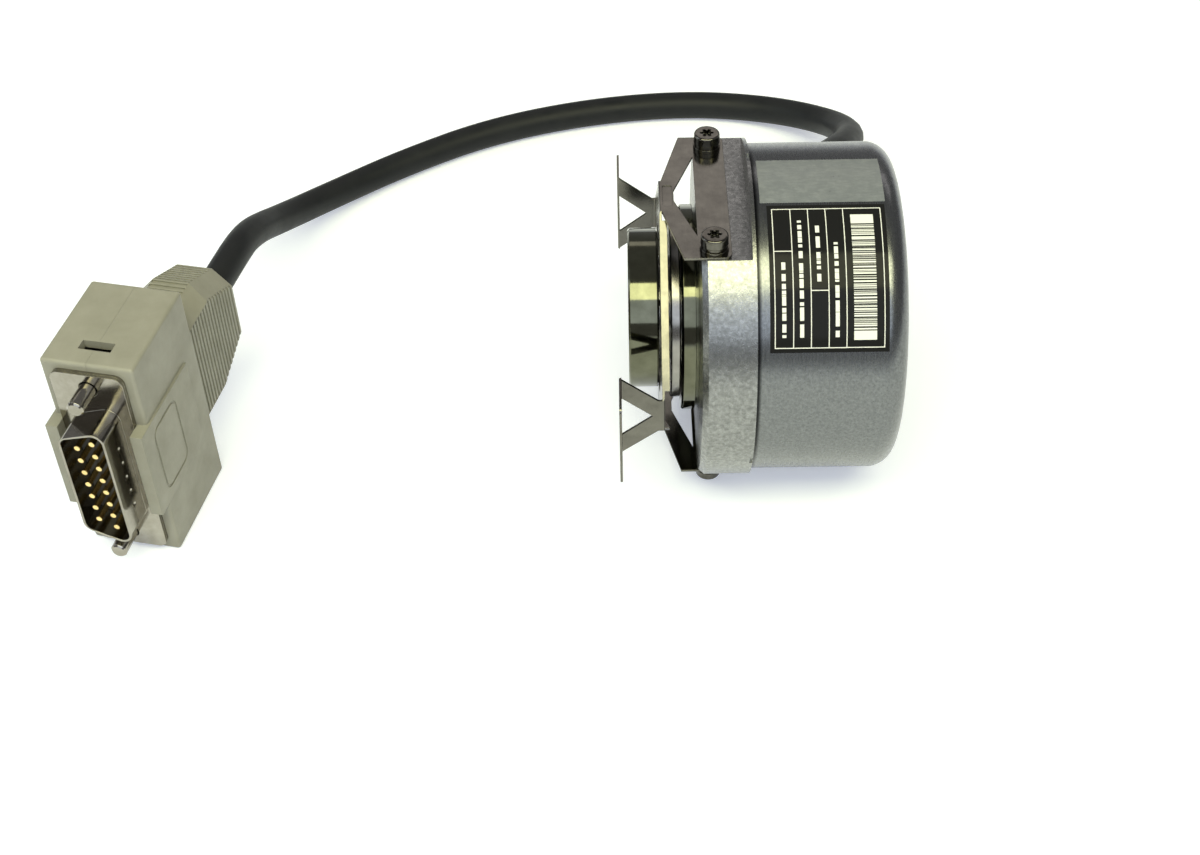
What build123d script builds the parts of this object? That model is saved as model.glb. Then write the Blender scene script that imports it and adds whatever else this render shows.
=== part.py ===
from build123d import *
import os
from math import cos, pi, radians, sin, sqrt, tan

os.makedirs("parts", exist_ok=True)

# Incremental rotary encoder with a blind hollow shaft, a stator coupling, a cable and a connector.
# Millimetres. The origin is on the shaft axis in the mounting plane of the coupling's lugs.
# +X runs from the lugs to the cap, +Y to the side where the cable leaves, +Z up.

# Housing
housing_radius = 29.0
flange_front = 13.4
flange_depth = 8.6
flat_depth = 8.0
flat_height = 23.7
flange_chamfer = 0.9
flange_pocket_width = 3.4
spigot_wall = 1.9
flange_floor = 3.8
spigot_length = 3.2
boss_wall = 2.4
boss_rear_lip = 2.4
running_gap = 0.5
press_gap = 0.02
break_through = 1.0
seat_gap = 0.05
stake_width = 2.4
stake_depth = 0.5
stake_count = 3
stake_angle = 82.0

# Cap
cap_step = 0.9
cap_wall = 0.7
cap_end_wall = 0.8
cap_length = 24.4
cap_corner = 4.0
cap_ring_section = 0.8

# Bearings
bearing_bore = 10.0
bearing_outer = 16.0
bearing_width = 7.0
bearing_gap = 2.3
race_wall = 1.9
ball_radius = 1.75
ball_clearance = 0.03
ball_count = 9
cage_width = 4.6
cage_wall = 1.1
bearing_front = 14.2
circlip_width = 1.0
circlip_depth = 0.7
circlip_lip = 1.3
circlip_opening = 30.0
circlip_cut = 24.0

# Hollow shaft and its clamping ring
shaft_bore = 6.0
shaft_bore_depth = 29.0
shaft_wall = 3.0
shaft_slot = 1.0
shaft_slot_length = 6.2
shaft_slot_count = 4
shaft_tail = 8.5
shaft_tail_length = 5.3
shoulder_radius = 11.2
shaft_collar_radius = 15.6
shaft_collar_width = 1.65
shaft_chamfer = 0.4
ring_radius = 13.8
ring_front = 1.7
ring_width = 5.1
ring_chamfer = 0.3
ring_slit = 1.2
ring_angle = 300.0
clamp_gap = 0.04
clamp_screw_radius = 1.0
clamp_screw_length = 7.5
clamp_screw_seat = 2.4
clamp_head_radius = 1.9
clamp_head_height = 1.6

# Cover at the front of the bearings
cover_radius = 17.8
cover_width = 2.9
cover_gap = 0.15
cover_undercut = 0.6
cover_lip = 0.9
seal_wall = 2.2
seal_width = 1.6
seal_clearance = 0.4

# Stator coupling, one leaf of spring steel
leaf = 0.4
bend_outer = 0.35
bend_inner = 0.2
web_front = 6.95
web_hole = 14.8
leg_offset = 26.8
leg_neck = 3.3
leg_strut = 3.9
leg_span = 8.3
leg_vertex = 5.4
lug_length = 7.7
lug_hole_circle = 31.5
lug_hole_angle = 10.0
lug_hole_radius = 1.7
lug_corner = 1.0
wing_neck = 4.1
wing_half_width = 16.5
wing_flare = 10.6
wing_rear = 18.2
wing_corner = 1.2
window_front = 9.4
window_front_half = 1.4
window_rear = 12.9
window_rear_half = 10.8
window_corner = 0.4
rib_height = 1.25
rib_inset = 1.6
neck_bead_length = 1.6
neck_bead_width = 5.6
neck_bead_depth = 0.12

# Screws on the flats, M2.5 cheese head
screw_x = 15.45
screw_y = 13.9
screw_radius = 1.25
screw_length = 6.0
screw_head_radius = 2.25
screw_head_height = 1.6
screw_head_taper = 3
screw_head_edge = 0.35
screw_drive_radius = 0.88
screw_drive_lobe = 0.28
screw_drive_depth = 0.9
washer_radius = 2.35
washer_thickness = 0.5
spring_washer_radius = 2.15
spring_washer_thickness = 0.65
washer_bore_clearance = 0.1
spring_washer_slit = 0.5

# Disc and scanning unit
disc_clearance = 0.6
disc_thickness = 1.0
disc_x = 34.0
hub_radius = 11.0
hub_rim = 1.0
track_inset = 0.8
light_width = 9.0
light_height = 6.0
light_depth = 5.0
light_overlap = 1.0
light_window = 0.4
light_disc_gap = 0.9
lens_radius = 2.2
lens_bulge = 0.4
lens_waist = 0.3
reticle_width = 8.0
reticle_height = 5.0
reticle_thickness = 0.8
reticle_gap = 0.9
chip_thickness = 0.7
chip_margin = 1.0
detector_board_width = 14.0
detector_board_height = 11.0
detector_board_thickness = 1.2
detector_board_corner = 1.0
detector_board_drop = 0.6
detector_header_width = 10.0
detector_header_height = 3.0

# Main board
board_x = 40.6
board_clearance = 1.8
board_thickness = 1.6
board_notch_width = 13.0
board_notch_depth = 4.2
post_inset = 2.0
post_radius = 1.5
post_angles = (40.0, 140.0, 220.0, 320.0)
board_screw_radius = 0.8
board_screw_length = 5.0
board_screw_head_radius = 1.5
board_screw_head_height = 1.2
processor_size = 9.0
processor_height = 1.2
driver_width = 5.0
driver_length = 6.2
driver_height = 1.4
driver_offset = 10.5
can_radius = 2.2
can_height = 2.4
header_width = 10.0
header_height = 6.0
header_depth = 3.0

# Labels on the cap, by their angle above the front
label_front = 24.0
label_width = 18.8
label_low_angle = 25.0
label_high_angle = 75.0
label_thickness = 0.1
sticker_front = 23.0
sticker_width = 20.0
sticker_low_angle = 76.2
sticker_high_angle = 98.5
sticker_thickness = 0.06

# Cable and where it leaves the cap
cable_radius = 3.0
cable_x = 38.0
cable_reach = 5.0
bend_share = 0.45
cable_straight = 27.0
cable_inside = 6.0
gland_neck = 4.4
gland_flange = 6.0
gland_flange_thickness = 2.0
gland_root = 5.3
gland_tip = 3.7
gland_length = 7.0
gland_collar = 1.5
gland_clearance = 0.1
shield_wall = 1.0
shield_length = 1.9

# Connector, a 15 way sub-D with a two part hood
connector_x = -78.7
connector_y = -0.7
connector_turn = 12.0
hood_width = 42.0
hood_height = 16.0
hood_length = 20.0
hood_wall = 1.6
hood_front = -27.0
hood_edge = 0.6
entry_width = 26.0
entry_height = 13.0
entry_length = 20.0
entry_chamfer = 3.2
entry_taper_length = 9.0
entry_tip_width = 18.0
entry_wall = 2.2
rib_count = 17
rib_pitch = 1.1
rib_depth = 0.35
rib_first = 1.6
tab_width = 18.0
tab_length = 3.0
tab_root = 0.5
panel_height = 0.4
panel_length = 15.5
slot_length = 2.1
slot_height = 5.6
slot_depth = 2.4
slot_setback = 3.5
frame_width = 14.0
frame_length = 9.0
frame_line = 0.5
frame_depth = 0.2
frame_setback = 5.0
flange_plate = 0.5
flange_plate_width = 39.2
flange_plate_height = 12.5
flange_plate_corner = 1.6
lock_pitch = 33.3
lock_hole_radius = 1.6
shell_width = 25.0
shell_height = 8.3
shell_length = 6.0
shell_wall = 0.4
shell_corner = 2.0
shell_slant = 10.0
dimple_count = 5
dimple_radius = 0.55
dimple_pitch = 3.2
dimple_setback = 2.7
rear_shell_length = 6.0
insulator_clearance = 0.05
insulator_front = 0.8
insulator_rear = 9.0
pin_radius = 0.5
pin_pitch = 2.77
row_pitch = 2.84
pin_long_row = 8
pin_reach = 5.4
pin_tail = 3.0
lock_radius = 1.42
lock_reach = 5.0
lock_collar_radius = 2.5
lock_collar_width = 1.0
lock_shank_radius = 1.2
lock_head_radius = 2.0
lock_head_length = 3.4
lock_head_clearance = 0.06
lock_head_recess = 0.4
lock_slot = 0.6
lock_slot_depth = 0.8
clip_wall = 1.1
clip_length = 4.0

# Places that follow from the sizes above
flange_rear = flange_front + flange_depth
bearing_rear = bearing_front + 2 * bearing_width + bearing_gap
boss_rear = bearing_rear + boss_rear_lip
boss_radius = bearing_outer + boss_wall
flange_pocket_radius = boss_radius + flange_pocket_width
cap_radius = housing_radius - cap_step
cap_inner = cap_radius - cap_wall
spigot_radius = cap_inner - seat_gap
cap_rear = flange_rear + cap_length
pitch_radius = (bearing_bore + bearing_outer) / 2
shaft_tube = shaft_bore + shaft_wall
collar_front = flange_front - cover_width - cover_gap - shaft_collar_width
wing_outer = flat_height + leaf
board_radius = cap_inner - board_clearance
post_circle = board_radius - post_inset
disc_radius = post_circle - post_radius - disc_clearance
track_radius = disc_radius - track_inset
disc_rear = disc_x + disc_thickness
cable_inner_end = cap_inner - cable_reach
floor_z = -housing_radius
connector_z = floor_z + hood_width / 2


def band(x_start, x_end, r_inner, r_outer, mode=Mode.ADD):
    """One rectangle of a turned profile, drawn in the plane of X and the radius."""
    with Locations(((x_start + x_end) / 2, (r_inner + r_outer) / 2)):
        Rectangle(x_end - x_start, r_outer - r_inner, mode=mode)


def across(x):
    """The plane square to the shaft at x, with its own x along Y and its own y along Z."""
    return Plane(origin=(x, 0, 0), x_dir=(0, 1, 0), z_dir=(1, 0, 0))


def turned(x, radius, angle):
    """The plane that touches a cylinder about the shaft axis, at an angle from +Y towards +Z."""
    turn = radians(angle)
    normal = (0, cos(turn), sin(turn))
    return Plane(origin=(x, radius * cos(turn), radius * sin(turn)), x_dir=(1, 0, 0), z_dir=normal)


# The plug stands on its narrow side. Its own frame: x down, y to the rear along its axis, z to the right.
connector_rearward = Vector(sin(radians(connector_turn)), cos(radians(connector_turn)), 0)
seam = Plane(origin=(connector_x, connector_y, connector_z), x_dir=(0, 0, -1),
             z_dir=Vector(0, 0, -1).cross(connector_rearward))


def at_plug(x, y, z=0):
    """A point of the plug's own frame."""
    return seam.from_local_coords(Vector(x, y, z))


def nose(x, y):
    """The plane square to the plug's axis at x and y of its frame, facing its mating side."""
    return Plane(origin=at_plug(x, y), x_dir=seam.x_dir, z_dir=-seam.y_dir)


# Flange housing with its two flats, its rim, the bearing boss and the spigot for the cap
with BuildPart() as flange_housing:
    with BuildSketch(Plane.XZ):
        band(flange_front, flange_rear, 0, housing_radius)
        band(flange_rear, flange_rear + spigot_length, 0, spigot_radius)
        band(flange_rear, boss_rear, 0, boss_radius)
        band(flange_front + flange_floor, flange_rear, boss_radius, flange_pocket_radius,
             mode=Mode.SUBTRACT)
        band(flange_rear, flange_rear + spigot_length, boss_radius, spigot_radius - spigot_wall,
             mode=Mode.SUBTRACT)
        band(bearing_front, boss_rear, 0, bearing_outer, mode=Mode.SUBTRACT)
        band(flange_front, bearing_front, 0, bearing_outer - race_wall, mode=Mode.SUBTRACT)
        band(bearing_rear, bearing_rear + circlip_width, 0, bearing_outer + circlip_depth,
             mode=Mode.SUBTRACT)
        ring_groove = flange_rear + spigot_length / 2
        band(ring_groove - cap_ring_section, ring_groove + cap_ring_section,
             spigot_radius - cap_ring_section, spigot_radius, mode=Mode.SUBTRACT)
    revolve(axis=Axis.X)
    front_rim = flange_housing.edges().filter_by(GeomType.CIRCLE).filter_by(
        lambda edge: abs(edge.radius - housing_radius) < 0.01).sort_by(Axis.X)[0]
    chamfer(front_rim, flange_chamfer)
    for side in (1, -1):
        with BuildSketch(across(flange_front)):
            with Locations((0, side * (flat_height + housing_radius) / 2)):
                Rectangle(2 * housing_radius, housing_radius - flat_height)
        extrude(amount=flat_depth, mode=Mode.SUBTRACT)
        with BuildSketch(Plane(origin=(0, 0, side * flat_height), x_dir=(1, 0, 0), z_dir=(0, 0, side))):
            with Locations((screw_x, screw_y), (screw_x, -screw_y)):
                Circle(screw_radius)
        extrude(amount=-screw_length, mode=Mode.SUBTRACT)
    for stake in range(stake_count):
        with BuildSketch(turned(flange_rear, housing_radius, stake_angle + stake * 360 / stake_count)):
            Rectangle(2 * stake_depth, stake_width)
        extrude(amount=-stake_depth, mode=Mode.SUBTRACT)
flange_housing.part.label = "flange_housing"
export_step(flange_housing.part, "parts/flange_housing.step")

# Cover over the front bearing, with the pocket of the shaft seal
cover_front = flange_front - cover_width
with BuildPart() as bearing_cover:
    with BuildSketch(Plane.XZ):
        band(cover_front, flange_front, shoulder_radius + running_gap, cover_radius)
        band(flange_front - cover_undercut, flange_front, cover_radius - cover_undercut, cover_radius,
             mode=Mode.SUBTRACT)
        band(cover_front + cover_lip, flange_front, shoulder_radius + running_gap,
             shoulder_radius + seal_clearance + seal_wall, mode=Mode.SUBTRACT)
    revolve(axis=Axis.X)
    cover_edge = bearing_cover.edges().filter_by(GeomType.CIRCLE).filter_by(
        lambda edge: abs(edge.radius - cover_radius) < 0.01).sort_by(Axis.X)[0]
    chamfer(cover_edge, ring_chamfer)
bearing_cover.part.label = "bearing_cover"
export_step(bearing_cover.part, "parts/bearing_cover.step")

seal_front = cover_front + cover_lip + press_gap
with BuildPart() as shaft_seal:
    with BuildSketch(Plane.XZ):
        band(seal_front, seal_front + seal_width, shoulder_radius + seal_clearance,
             shoulder_radius + seal_clearance + seal_wall - press_gap)
        band(seal_front + seal_width / 3, seal_front + seal_width,
             shoulder_radius + seal_clearance + seal_wall / 3,
             shoulder_radius + seal_clearance + 2 * seal_wall / 3, mode=Mode.SUBTRACT)
    revolve(axis=Axis.X)
shaft_seal.part.label = "shaft_seal"
export_step(shaft_seal.part, "parts/shaft_seal.step")

# Two deep groove ball bearings: rings, balls and cage
bearing_starts = {"front": bearing_front, "rear": bearing_front + bearing_width + bearing_gap}
for place, start in bearing_starts.items():
    middle = start + bearing_width / 2
    with BuildPart() as outer_race:
        with BuildSketch(Plane.XZ):
            band(start, start + bearing_width, bearing_outer - race_wall, bearing_outer - press_gap)
            with Locations((middle, pitch_radius)):
                Circle(ball_radius + ball_clearance, mode=Mode.SUBTRACT)
        revolve(axis=Axis.X)
    outer_race.part.label = f"{place}_bearing_outer_ring"
    export_step(outer_race.part, f"parts/{place}_bearing_outer_ring.step")

    with BuildPart() as inner_race:
        with BuildSketch(Plane.XZ):
            band(start, start + bearing_width, bearing_bore + press_gap, bearing_bore + race_wall)
            with Locations((middle, pitch_radius)):
                Circle(ball_radius + ball_clearance, mode=Mode.SUBTRACT)
        revolve(axis=Axis.X)
    inner_race.part.label = f"{place}_bearing_inner_ring"
    export_step(inner_race.part, f"parts/{place}_bearing_inner_ring.step")

    with BuildPart() as balls:
        with Locations(across(middle)):
            with PolarLocations(pitch_radius, ball_count):
                Sphere(ball_radius)
    balls.part.label = f"{place}_bearing_balls"
    export_step(balls.part, f"parts/{place}_bearing_balls.step")

    with BuildPart() as cage:
        with BuildSketch(Plane.XZ):
            band(middle - cage_width / 2, middle + cage_width / 2, pitch_radius - cage_wall / 2,
                 pitch_radius + cage_wall / 2)
        revolve(axis=Axis.X)
        for pocket in range(ball_count):
            with BuildSketch(turned(middle, 0, pocket * 360 / ball_count)):
                Circle(ball_radius + ball_clearance)
            extrude(amount=bearing_outer, mode=Mode.SUBTRACT)
    cage.part.label = f"{place}_bearing_cage"
    export_step(cage.part, f"parts/{place}_bearing_cage.step")

# Spacers between the bearings, one for each set of rings
spacer_front = bearing_front + bearing_width
with BuildPart() as inner_ring_spacer:
    with BuildSketch(Plane.XZ):
        band(spacer_front, spacer_front + bearing_gap, bearing_bore + press_gap,
             bearing_bore + race_wall - ring_chamfer)
    revolve(axis=Axis.X)
inner_ring_spacer.part.label = "inner_ring_spacer"
export_step(inner_ring_spacer.part, "parts/inner_ring_spacer.step")

with BuildPart() as outer_ring_spacer:
    with BuildSketch(Plane.XZ):
        band(spacer_front, spacer_front + bearing_gap, bearing_outer - race_wall + ring_chamfer,
             bearing_outer - press_gap)
    revolve(axis=Axis.X)
outer_ring_spacer.part.label = "outer_ring_spacer"
export_step(outer_ring_spacer.part, "parts/outer_ring_spacer.step")

# Snap ring behind the rear bearing, open at the bottom
with BuildPart() as retaining_ring:
    with BuildSketch(Plane.XZ):
        band(bearing_rear + press_gap, bearing_rear + circlip_width - press_gap,
             bearing_outer - circlip_lip, bearing_outer + circlip_depth - press_gap)
    revolve(axis=Axis.X)
    with BuildSketch(across(bearing_rear)):
        with BuildLine():
            gap_half = circlip_cut * tan(radians(circlip_opening / 2))
            Polyline((0, 0), (gap_half, -circlip_cut), (-gap_half, -circlip_cut), close=True)
        make_face()
    extrude(amount=circlip_width, mode=Mode.SUBTRACT)
retaining_ring.part.label = "retaining_ring"
export_step(retaining_ring.part, "parts/retaining_ring.step")

# Blind hollow shaft: slit clamping end, collar, seal shoulder, bearing seat and tail for the disc hub
shaft_front = ring_front
tail_front = bearing_rear - press_gap
with BuildPart() as hollow_shaft:
    with BuildSketch(Plane.XZ):
        band(shaft_front, collar_front, 0, shaft_tube)
        band(collar_front, collar_front + shaft_collar_width, 0, shaft_collar_radius)
        band(collar_front + shaft_collar_width, bearing_front, 0, shoulder_radius)
        band(bearing_front, tail_front, 0, bearing_bore)
        band(tail_front, tail_front + shaft_tail_length, 0, shaft_tail)
        band(shaft_front, shaft_front + shaft_bore_depth, 0, shaft_bore, mode=Mode.SUBTRACT)
    revolve(axis=Axis.X)
    collar_edges = hollow_shaft.edges().filter_by(GeomType.CIRCLE).filter_by(
        lambda edge: abs(edge.radius - shaft_collar_radius) < 0.01)
    chamfer(collar_edges, shaft_chamfer / 2)
    bore_mouth = hollow_shaft.edges().filter_by(GeomType.CIRCLE).filter_by(
        lambda edge: abs(edge.radius - shaft_bore) < 0.01).sort_by(Axis.X)[0]
    chamfer(bore_mouth, shaft_chamfer)
    for slot in range(shaft_slot_count):
        slot_turn = (2 * slot + 1) * 180 / shaft_slot_count
        with BuildSketch(turned(shaft_front + shaft_slot_length / 2, 0, slot_turn)):
            Rectangle(shaft_slot_length, shaft_slot)
        extrude(amount=shaft_tube + break_through, mode=Mode.SUBTRACT)
hollow_shaft.part.label = "hollow_shaft"
export_step(hollow_shaft.part, "parts/hollow_shaft.step")

# Clamping ring, slit on one side and drawn together by a screw that lies across the slit
ring_middle = ring_front + ring_width / 2
ring_inner = shaft_tube + clamp_gap
ring_screw_circle = (ring_inner + ring_radius) / 2
ring_turn = radians(ring_angle)
screw_along = (0, -sin(ring_turn), cos(ring_turn))
screw_origin = (ring_middle, ring_screw_circle * cos(ring_turn), ring_screw_circle * sin(ring_turn))
clamp_screw_plane = Plane(origin=screw_origin, x_dir=(1, 0, 0), z_dir=screw_along)
with BuildPart() as clamping_ring:
    with BuildSketch(Plane.XZ):
        band(ring_front, ring_front + ring_width, ring_inner, ring_radius)
    revolve(axis=Axis.X)
    ring_edges = clamping_ring.edges().filter_by(GeomType.CIRCLE).filter_by(
        lambda edge: abs(edge.radius - ring_radius) < 0.01)
    chamfer(ring_edges, ring_chamfer)
    with BuildSketch(turned(ring_middle, 0, ring_angle)):
        Rectangle(2 * ring_width, ring_slit)
    extrude(amount=ring_radius + break_through, mode=Mode.SUBTRACT)
    with BuildSketch(clamp_screw_plane.offset(clamp_screw_seat)):
        Circle(clamp_head_radius + washer_bore_clearance)
    extrude(amount=ring_radius, mode=Mode.SUBTRACT)
    with BuildSketch(clamp_screw_plane.offset(clamp_screw_seat - clamp_screw_length)):
        Circle(clamp_screw_radius + press_gap)
    extrude(amount=clamp_screw_length, mode=Mode.SUBTRACT)
clamping_ring.part.label = "clamping_ring"
export_step(clamping_ring.part, "parts/clamping_ring.step")


def hexalobe(radius, lobe):
    """The six-lobed recess of a screw, drawn in the sketch that is open."""
    RegularPolygon(radius, 6)
    with PolarLocations(radius, 6):
        Circle(lobe)


with BuildPart() as clamp_screw:
    with BuildSketch(clamp_screw_plane.offset(clamp_screw_seat)):
        Circle(clamp_head_radius)
    extrude(amount=clamp_head_height)
    with BuildSketch(clamp_screw_plane.offset(clamp_screw_seat)):
        Circle(clamp_screw_radius)
    extrude(amount=-(clamp_screw_length - press_gap))
    with BuildSketch(clamp_screw_plane.offset(clamp_screw_seat + clamp_head_height)):
        hexalobe(screw_drive_radius, screw_drive_lobe)
    extrude(amount=-screw_drive_depth, mode=Mode.SUBTRACT)
clamp_screw.part.label = "clamp_screw"
export_step(clamp_screw.part, "parts/clamp_screw.step")

# Stator coupling: a web round the shaft, two wings on the flats, two Y legs with lugs, four ribs
web_rear = web_front + leaf
web_corners = [(wing_neck, wing_outer), (leg_offset + leaf, leg_neck)]
web_outline = [
    (wing_neck, wing_outer), (leg_offset + leaf, leg_neck),
    (leg_offset + leaf, -leg_neck), (wing_neck, -wing_outer),
    (-wing_neck, -wing_outer), (-leg_offset - leaf, -leg_neck),
    (-leg_offset - leaf, leg_neck), (-wing_neck, wing_outer),
]
with BuildPart() as stator_coupling:
    with BuildSketch(across(web_front)):
        with BuildLine():
            Polyline(*web_outline, close=True)
        make_face()
        Circle(web_hole, mode=Mode.SUBTRACT)
    extrude(amount=leaf)
    for side in (1, -1):
        with BuildSketch(Plane(origin=(0, 0, side * flat_height), x_dir=(1, 0, 0), z_dir=(0, 0, side))):
            with BuildLine():
                Polyline((web_front, wing_neck), (web_rear, wing_neck), (wing_flare, wing_half_width),
                         (wing_rear, wing_half_width), (wing_rear, -wing_half_width),
                         (wing_flare, -wing_half_width), (web_rear, -wing_neck), (web_front, -wing_neck),
                         close=True)
            wing = make_face()
            fillet(wing.vertices().group_by(Axis.X)[-1], wing_corner)
            with BuildLine():
                Polyline((window_front, window_front_half), (window_rear, window_rear_half),
                         (window_rear, -window_rear_half), (window_front, -window_front_half), close=True)
            make_face(mode=Mode.SUBTRACT)
            with Locations((screw_x, screw_y), (screw_x, -screw_y)):
                Circle(screw_radius + washer_bore_clearance, mode=Mode.SUBTRACT)
        extrude(amount=leaf)
        bead_middle = (web_rear + window_front) / 2
        bead_plane = Plane(origin=(bead_middle, 0, side * wing_outer), x_dir=(1, 0, 0), z_dir=(0, 0, side))
        with BuildSketch(bead_plane):
            RectangleRounded(neck_bead_length, neck_bead_width, window_corner)
        extrude(amount=-neck_bead_depth, mode=Mode.SUBTRACT)
        leg_plane = Plane(origin=(0, side * leg_offset, 0), x_dir=(1, 0, 0), z_dir=(0, side, 0))
        with BuildSketch(leg_plane):
            with BuildLine():
                Polyline((0, leg_span), (web_front - rib_height / 2, leg_neck), (web_rear, leg_neck),
                         (web_rear, -leg_neck), (web_front - rib_height / 2, -leg_neck), (0, -leg_span),
                         (0, -leg_span + leg_strut), (leg_vertex, 0), (0, leg_span - leg_strut),
                         close=True)
            make_face()
        extrude(amount=leaf)
        with BuildSketch(across(0)):
            with Locations((side * (leg_offset + lug_length / 2), 0)):
                lug = Rectangle(lug_length, 2 * leg_span)
            outer_end = lug.vertices().group_by(Axis.X)[-1 if side > 0 else 0]
            fillet(outer_end, lug_corner)
            for turn in (-lug_hole_angle, lug_hole_angle):
                hole_y = side * lug_hole_circle * cos(radians(turn))
                hole_z = lug_hole_circle * sin(radians(turn))
                with Locations((hole_y, hole_z)):
                    Circle(lug_hole_radius, mode=Mode.SUBTRACT)
        extrude(amount=leaf)
    for y_side in (1, -1):
        for z_side in (1, -1):
            start = Vector(web_rear, y_side * web_corners[0][0], z_side * web_corners[0][1])
            end = Vector(web_rear, y_side * web_corners[1][0], z_side * web_corners[1][1])
            along = (end - start).normalized()
            outward = Vector(0, y_side * abs(along.Z), z_side * abs(along.Y))
            rib_length = (end - start).length - 2 * rib_inset
            rib_middle = (start + end) / 2 - outward * (leaf / 2)
            with BuildSketch(Plane(origin=rib_middle, x_dir=along, z_dir=(1, 0, 0))):
                Rectangle(rib_length, leaf)
            extrude(amount=rib_height - leaf)
    for radius, places in (
        (bend_outer, ((web_front, wing_outer), (web_rear, leg_offset + leaf), (0, leg_offset))),
        (bend_inner, ((web_rear, flat_height), (web_front, leg_offset), (leaf, leg_offset + leaf))),
    ):
        for x, reach in places:
            bends = stator_coupling.edges().filter_by(GeomType.LINE).filter_by(
                lambda edge: abs(edge.center().X - x) < 0.01 and (
                    abs(abs(edge.center().Z) - reach) < 0.01 and abs((edge @ 1 - edge @ 0).normalized().Y) > 0.99
                    or abs(abs(edge.center().Y) - reach) < 0.01
                    and abs((edge @ 1 - edge @ 0).normalized().Z) > 0.99))
            fillet(bends, radius)
stator_coupling.part.label = "stator_coupling"
export_step(stator_coupling.part, "parts/stator_coupling.step")

# Four cheese head screws with a flat washer and a spring washer each
screw_planes = [
    Plane(origin=(screw_x, y, side * wing_outer), x_dir=(1, 0, 0), z_dir=(0, 0, side))
    for side in (1, -1) for y in (screw_y, -screw_y)
]
head_base = washer_thickness + spring_washer_thickness
head_top = wing_outer + head_base + screw_head_height
with BuildPart() as coupling_screws:
    for plane in screw_planes:
        with BuildSketch(plane.offset(head_base)):
            Circle(screw_head_radius)
        extrude(amount=screw_head_height, taper=screw_head_taper)
        with BuildSketch(plane.offset(head_base)):
            Circle(screw_radius - press_gap)
        extrude(amount=-(head_base + leaf + screw_length - running_gap))
    head_rims = coupling_screws.edges().filter_by(GeomType.CIRCLE).filter_by(
        lambda edge: abs(abs(edge.center().Z) - head_top) < 0.01)
    fillet(head_rims, screw_head_edge)
    for plane in screw_planes:
        with BuildSketch(plane.offset(head_base + screw_head_height)):
            hexalobe(screw_drive_radius, screw_drive_lobe)
        extrude(amount=-screw_drive_depth, mode=Mode.SUBTRACT)
coupling_screws.part.label = "coupling_screws"
export_step(coupling_screws.part, "parts/coupling_screws.step")

with BuildPart() as coupling_washers:
    for plane in screw_planes:
        with BuildSketch(plane):
            Circle(washer_radius)
            Circle(screw_radius + washer_bore_clearance, mode=Mode.SUBTRACT)
        extrude(amount=washer_thickness)
coupling_washers.part.label = "coupling_washers"
export_step(coupling_washers.part, "parts/coupling_washers.step")

with BuildPart() as coupling_spring_washers:
    for plane in screw_planes:
        with BuildSketch(plane.offset(washer_thickness)):
            Circle(spring_washer_radius)
            Circle(screw_radius + washer_bore_clearance, mode=Mode.SUBTRACT)
            with Locations((-spring_washer_radius, 0)):
                Rectangle(2 * spring_washer_radius, spring_washer_slit, mode=Mode.SUBTRACT)
        extrude(amount=spring_washer_thickness)
coupling_spring_washers.part.label = "coupling_spring_washers"
export_step(coupling_spring_washers.part, "parts/coupling_spring_washers.step")

# Rear cap, a drawn cup, with the hole of the cable gland
cable_plane = Plane(origin=(cable_x, 0, 0), x_dir=(1, 0, 0), z_dir=(0, 1, 0))
with BuildPart() as rear_cap:
    with BuildSketch(Plane.XZ):
        with BuildLine():
            FilletPolyline((flange_rear, cap_radius), (cap_rear, cap_radius), (cap_rear, 0),
                           radius=cap_corner)
            Line((cap_rear, 0), (cap_rear - cap_end_wall, 0))
            FilletPolyline((cap_rear - cap_end_wall, 0), (cap_rear - cap_end_wall, cap_inner),
                           (flange_rear, cap_inner), radius=cap_corner - cap_wall)
            Line((flange_rear, cap_inner), (flange_rear, cap_radius))
        make_face()
    revolve(axis=Axis.X)
    with BuildSketch(cable_plane):
        Circle(gland_neck + gland_clearance)
    extrude(amount=cap_radius + break_through, mode=Mode.SUBTRACT)
rear_cap.part.label = "rear_cap"
export_step(rear_cap.part, "parts/rear_cap.step")

# Seal ring between the spigot and the cap
with BuildPart() as cap_seal:
    with BuildSketch(Plane.XZ):
        with Locations((flange_rear + spigot_length / 2, spigot_radius - cap_ring_section / 2)):
            Circle(cap_ring_section / 2 - press_gap)
    revolve(axis=Axis.X)
cap_seal.part.label = "cap_seal"
export_step(cap_seal.part, "parts/cap_seal.step")


def up_edge(angle):
    """The plane through the shaft axis whose own y points out of the cap, at an angle above the front."""
    turn = radians(angle)
    return Plane(origin=(0, 0, 0), x_dir=(1, 0, 0), z_dir=(0, -sin(turn), -cos(turn)))


# Rating label and the sticker beside it, thin sheets bent round the cap
with BuildPart() as rating_label:
    with BuildSketch(up_edge(label_high_angle)):
        band(label_front, label_front + label_width, cap_radius, cap_radius + label_thickness)
    revolve(axis=Axis.X, revolution_arc=label_high_angle - label_low_angle)
rating_label.part.label = "rating_label"
export_step(rating_label.part, "parts/rating_label.step")

with BuildPart() as dealer_sticker:
    with BuildSketch(up_edge(sticker_high_angle)):
        band(sticker_front, sticker_front + sticker_width, cap_radius, cap_radius + sticker_thickness)
    revolve(axis=Axis.X, revolution_arc=sticker_high_angle - sticker_low_angle)
dealer_sticker.part.label = "dealer_sticker"
export_step(dealer_sticker.part, "parts/dealer_sticker.step")

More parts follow.
